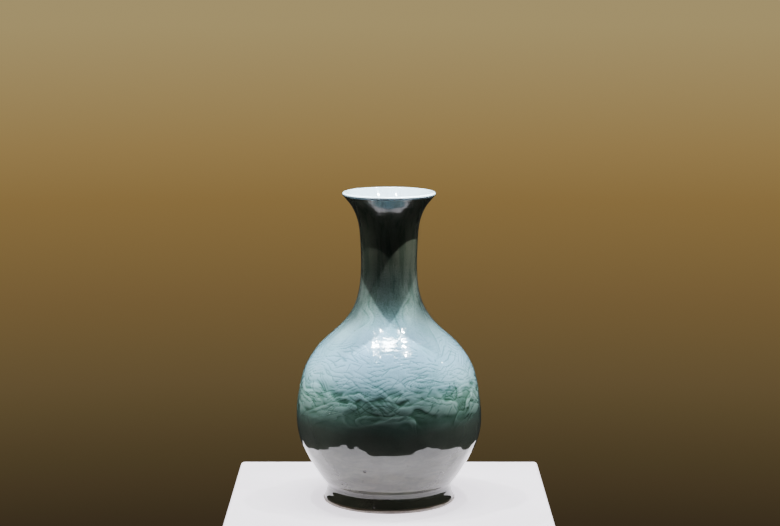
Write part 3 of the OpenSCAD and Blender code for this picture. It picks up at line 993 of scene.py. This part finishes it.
for i, v in enumerate((0.42, 0.72, 0.020, CEILING)):
    w_up.inputs[i + 1].default_value = v
w_dim.inputs[0].default_value = (0.93, 0.985, 1.0, 1)
wt.links.new(w_up.outputs[0], w_dim.inputs[1])
wt.links.new(w_path.outputs["Is Camera Ray"], w_mix.inputs[0])
wt.links.new(w_dim.outputs[0], w_mix.inputs[1])
wt.links.new(w_bg.outputs[0], w_mix.inputs[2])
wt.links.new(w_mix.outputs[0], w_out.inputs[0])


def lamp(name, az, el_deg, irradiance, radius, colour=(1, 1, 1), dist=1.3, shape="DISK", aim=(0, -0.03, 0.21)):
    """An overhead lamp: azimuth from the front towards +X, elevation, and the light it puts on a facing surface."""
    data = bpy.data.lights.new(name, "AREA")
    data.shape = shape
    data.size = radius * 2
    data.energy = irradiance * math.pi * dist * dist
    data.color = colour
    ob = bpy.data.objects.new(name, data)
    a, e = math.radians(az), math.radians(el_deg)
    d = np.array([math.cos(e) * math.sin(a), -math.cos(e) * math.cos(a), math.sin(e)])
    ob.location = tuple(d * dist + np.array(aim))
    ob.rotation_mode = "QUATERNION"
    ob.rotation_quaternion = Vector(tuple(d)).to_track_quat("Z", "Y")
    bpy.context.scene.collection.objects.link(ob)
    return ob


COOL = (0.95, 0.985, 1.0)
lamp("spot_a", -42, 70.7, 0.55, 0.004, COOL)
lamp("spot_b", 60, 68.0, 1.7, 0.004, COOL)
lamp("spot_c", 102, 74.9, 3.0, 0.004, COOL)
lamp("spot_d", -96, 76.1, 3.1, 0.004, COOL)
lamp("spot_e", 138, 72, 0.5, 0.006, COOL, aim=(0, 0.03, 0.21))
lamp("spot_f", -120, 71, 1.0, 0.006, COOL, aim=(0, 0.03, 0.21))
lamp("panel", 0, 89.9, 2.6, 0.135, COOL, 1.25, "SQUARE")


def beam(name, az, el_deg, irradiance, cover, aim, dist=1.5, radius=0.12, shine=False):
    """A beam with a soft edge: it covers a circle of that radius about the point it is aimed at."""
    data = bpy.data.lights.new(name, "SPOT")
    data.energy = irradiance * 4 * math.pi * math.pi * dist * dist
    data.spot_size = 2 * math.atan(cover / dist)
    data.spot_blend = 0.60
    data.shadow_soft_size = radius
    data.color = COOL
    ob = bpy.data.objects.new(name, data)
    a, e = math.radians(az), math.radians(el_deg)
    d = Vector((math.cos(e) * math.sin(a), -math.cos(e) * math.cos(a), math.sin(e)))
    ob.location = Vector(aim) + d * dist
    ob.rotation_mode = "QUATERNION"
    ob.rotation_quaternion = d.to_track_quat("Z", "Y")
    ob.visible_glossy = shine
    bpy.context.scene.collection.objects.link(ob)


beam("beam_left", -102, 34, 3.2, 0.076, (0, 0, 0.090))
beam("beam_right", 102, 34, 2.8, 0.076, (0, 0, 0.090))

# narrow beams on the neck beside the four front spots: the mouth's edge throws its arcs on the neck
for label, az, el_deg, power in (("a", -42, 70.7, 0.45), ("b", 60, 68.0, 1.45), ("c", 102, 74.9, 3.0), ("d", -96, 76.1, 2.8)):
    beam("neck_beam_" + label, az, el_deg, power, 0.038, (0, -0.022, 0.216), 1.3, 0.004)

scene = bpy.context.scene
scene.view_settings.view_transform = "AgX"
scene.view_settings.look = "AgX - Medium High Contrast"

cam_data = bpy.data.cameras.new("camera")
cam_data.sensor_width = 36.0
cam_data.lens = 2020.0 * 36.0 / 780.0
cam = bpy.data.objects.new("camera", cam_data)
cam.location = (0.00095, -1.9218, 0.5166)
cam.rotation_euler = (math.radians(90 - 8.45), 0, 0)
bpy.context.scene.collection.objects.link(cam)
bpy.context.scene.camera = cam
